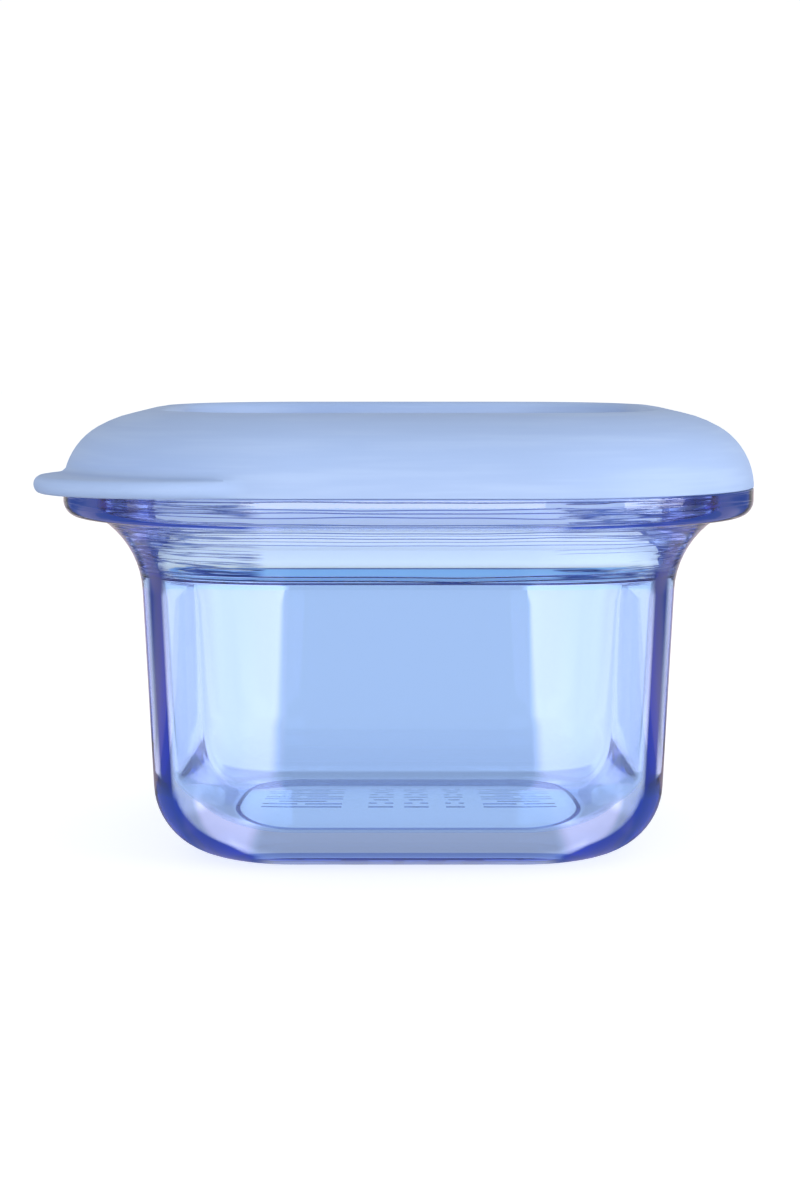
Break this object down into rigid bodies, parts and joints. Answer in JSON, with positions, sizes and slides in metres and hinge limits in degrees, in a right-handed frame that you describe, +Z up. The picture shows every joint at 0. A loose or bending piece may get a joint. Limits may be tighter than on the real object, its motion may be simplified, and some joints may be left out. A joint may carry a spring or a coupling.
{
  "type": "lidded baby food freezer pot",
  "caption": "Small lidded freezer pot for baby food: a thick clear blue tub with round corners and a soft pale blue lid with a corner pull tab.",
  "frame": {"origin": "centre of the tub's foot, on the plane that the pot stands on", "axes": "+Z up; the sides of the square pot lie along X and Y, and the lid's pull tab points to the corner at -X, -Y (front left)"},
  "size_m": [0.0876, 0.0876, 0.0556],
  "materials": {
    "tub_clear": "gloss",
    "lid_soft": "satin"
  },
  "bodies": {
    "tub": {"tub": "tub_clear"},
    "lid": {"lid": "lid_soft"}
  },
  "joints": [
    {"name": "lid_lift", "type": "slide", "parent": "tub", "child": "lid", "axis": [0, 0, 1], "range_m": [0, 0.06]}
  ]
}
